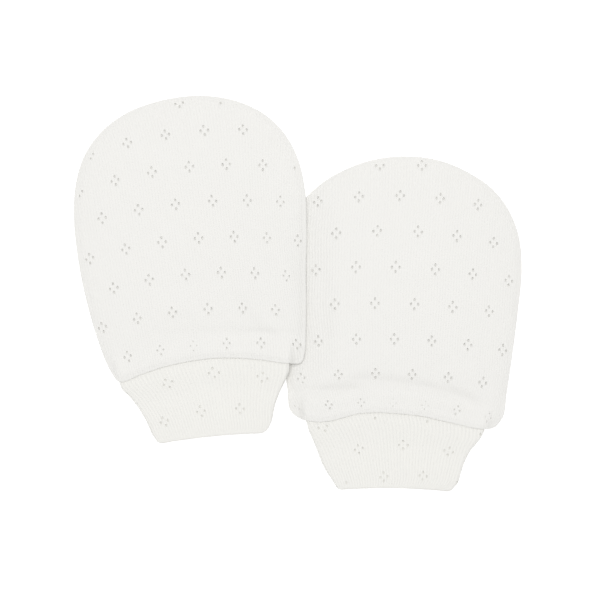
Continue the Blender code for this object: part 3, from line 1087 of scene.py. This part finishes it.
def combed_cotton_rib(name, light, shade, stitch_depth, painted_valley_shade):
    """Combed cotton in a fine rib, washed soft: matt, with a bloom of fibre ends and faint stitches. The
    valleys between the wales get a painted shade in the colour.
    """
    material, shader = new_material(name)
    tree = material.node_tree
    knit = parts_of(tree, add_node(tree, "ShaderNodeUVMap", uv_map=KNIT_MAP).outputs[0])
    wale = maths(tree, "ADD", maths(tree, "DIVIDE", knit["X"], WALE * MM), 0.5)
    from_middle = maths(tree, "ABSOLUTE", maths(tree, "SUBTRACT", maths(tree, "FRACT", wale), 0.5))
    course = maths(tree, "DIVIDE", knit["Y"], COURSE * MM)
    leg = maths(tree, "ADD", course, times(tree, from_middle, 2 * STITCH_LEAN))
    leg = maths(tree, "COSINE", times(tree, leg, 2 * pi))
    crown = maths(tree, "COSINE", times(tree, from_middle, 2 * pi))
    stitch = times(tree, times(tree, leg, 0.5), maths(tree, "ADD", crown, 1.0))

    place = add_node(tree, "ShaderNodeTexCoord").outputs["Object"]
    fibre, patch = [
        add_node(tree, "ShaderNodeTexNoise", {"Vector": place, "Scale": 1 / (size * MM), "Detail": detail})
        for size, detail in ((FIBRE_SIZE, 3.0), (PATCH_SIZE, 2.0))
    ]
    relief = maths(tree, "ADD", stitch, times(tree, fibre.outputs[0], FIBRE_RELIEF))
    depth = {"Strength": 1.0, "Distance": stitch_depth * MM, "Height": relief}
    bump = add_node(tree, "ShaderNodeBump", depth)

    # Painted shade: the colour is darkened in the valleys between the wales, where less light falls. The
    # noise patches are the cotton's own uneven tone.
    valley = times(tree, maths(tree, "SUBTRACT", 1.0, crown), painted_valley_shade)
    amount = maths(tree, "ADD", valley, times(tree, patch.outputs[0], PATCH_SHADE))
    colours = {0: amount, 6: linear(light), 7: linear(shade)}
    colour = add_node(tree, "ShaderNodeMix", colours, data_type="RGBA")
    look = {
        "Base Color": colour.outputs[2],
        "Normal": bump.outputs[0],
        "Roughness": 0.9,
        "IOR": 1.53,
        "Specular IOR Level": 0.25,
        "Sheen Weight": 0.15,
        "Sheen Roughness": 0.5,
    }
    set_inputs(shader, look)
    return material


def opal_table_top():
    """Opal glass lit from below: an even white with no gloss."""
    paint, shader = new_material("opal_table_top")
    look = {
        "Base Color": linear("#F8F8F8"),
        "Roughness": 1.0,
        "Specular IOR Level": 0.0,
        "Emission Color": linear("#FFFFFF"),
        "Emission Strength": FLOOR_GLOW,
    }
    set_inputs(shader, look)
    return paint


def studio():
    """A white table, a soft key beyond the fingertips, a weak fill from the cuffs, pale air."""
    floor_mesh = bpy.data.meshes.new("floor")
    corners = [(FLOOR_REACH * x, FLOOR_REACH * y, 0) for x, y in ((-1, -1), (1, -1), (1, 1), (-1, 1))]
    floor_mesh.from_pydata(corners, [], [(0, 1, 2, 3)])
    floor_mesh.materials.append(opal_table_top())
    new_object("floor", floor_mesh)
    for name, place, size, power in (
        ("key", (-0.04, 0.22, 1.6), 0.9, KEY_POWER),
        ("fill", (0.6, -1.2, 1.6), 1.4, FILL_POWER),
    ):
        lamp = bpy.data.lights.new(name, "AREA")
        lamp.shape = "DISK"
        lamp.size = size
        lamp.energy = power
        holder = new_object(name, lamp)
        holder.location = place
        holder.rotation_euler = (-Vector(place)).to_track_quat("-Z", "Y").to_euler()
    world = bpy.data.worlds.new("pale studio air")
    world.use_nodes = True
    air = world.node_tree.nodes["Background"]
    set_inputs(air, {"Color": linear("#FFFFFF"), "Strength": AIR_STRENGTH})
    bpy.context.scene.world = world
    bpy.context.scene.view_settings.view_transform = "Standard"


def overhead_camera():
    """A camera straight above the pair, far off, so that it sees no sides."""
    lens = bpy.data.cameras.new("overhead")
    lens.sensor_width = SENSOR
    lens.lens = SENSOR * (CAMERA_HEIGHT - VIEW_PLANE * MM) / (VIEW_WIDTH * MM)
    lens.clip_end = 20
    camera = new_object("overhead", lens)
    camera.location = (CAMERA_MIDDLE[0] * MM, CAMERA_MIDDLE[1] * MM, CAMERA_HEIGHT)
    bpy.context.scene.camera = camera


def knit_sizes(material, repeat, changes):
    """The values of the knit's tree for one piece, in metres."""
    sizes = {
        "Wale": WALE * MM,
        "Rib Depth": 0.1 * MM,
        "Repeat": repeat * WALE * MM,
        "Row Pitch": ROW_PITCH * MM,
        "Spread Across": 1.27 * MM,
        "Spread Along": 1.58 * MM,
        "Hole Width": 0.82 * MM,
        "Hole Length": 1.28 * MM,
        "Cut Depth": 0.66 * MM,
        "Yarn": 0.12 * MM,
        "Yarn Rise": -0.02 * MM,
        "Edge Margin": 1.5 * MM,
        "Unevenness": 0.1,
        "Seed": SEED,
        "Material": material,
    }
    sizes.update(changes)
    return sizes


def dress(piece, node):
    """Hangs a finished piece on the root body and hides the solid it stands for."""
    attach(piece, "root")
    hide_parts(node)


def make_panels(mitten, tree, material):
    """A mitten's front and back."""
    for side, face, seam, wall, step, changes in (
        ("front", front_face, front_seam, WALL, FRONT_STEP, {}),
        ("back", back_face, back_seam, -WALL, BACK_STEP, {"Seed": SEED + 1, "Yarn Rise": -0.13 * MM}),
    ):
        name = f"{mitten.name}_{side}"
        mesh = panel_mesh(mitten, f"{name}_knit", face, seam, wall, step)
        piece = knitted(mesh, tree, knit_sizes(material, mitten.knit.repeat, changes))
        rests_on = [f"{mitten.name}_back_knit"] if side == "front" else ["floor"]
        if name == "left_back":
            rests_on.append("right_front_knit")
        dress(piece, name)


def make_cuff(mitten, tree, material):
    """A mitten's cuff, whose flat width is its number of wales."""
    name = f"{mitten.name}_cuff"
    mesh = cuff_mesh(mitten, f"{name}_knit")
    changes = {
        "Rib Depth": 0.16 * MM,
        "Hole Length": 1.15 * MM,
        "Hole Width": 0.86 * MM,
        "Yarn Rise": -0.14 * MM,
    }
    piece = knitted(mesh, tree, knit_sizes(material, mitten.cuff_knit.repeat, changes))
    dress(piece, name)


def main():
    """The whole scene: the solids, the camera, the studio and the knitted pieces."""
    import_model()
    overhead_camera()
    studio()
    tree = pointelle_tree()
    body_cotton = combed_cotton_rib(
        "combed_cotton_pointelle_rib", "#E8E7E4", "#D9D8D3", stitch_depth=0.03, painted_valley_shade=0.08
    )
    # The cuffs' copy of the same cotton is painted a little lighter, to offset the shade of their deeper
    # ribs and slope, and its valleys get more painted shade.
    cuff_cotton = combed_cotton_rib(
        "combed_cotton_pointelle_rib_folded", "#EAE9E5", "#DBDAD4", stitch_depth=0.04, painted_valley_shade=0.12
    )
    for mitten in (LEFT, RIGHT):
        make_panels(mitten, tree, body_cotton)
        make_cuff(mitten, tree, cuff_cotton)


main()
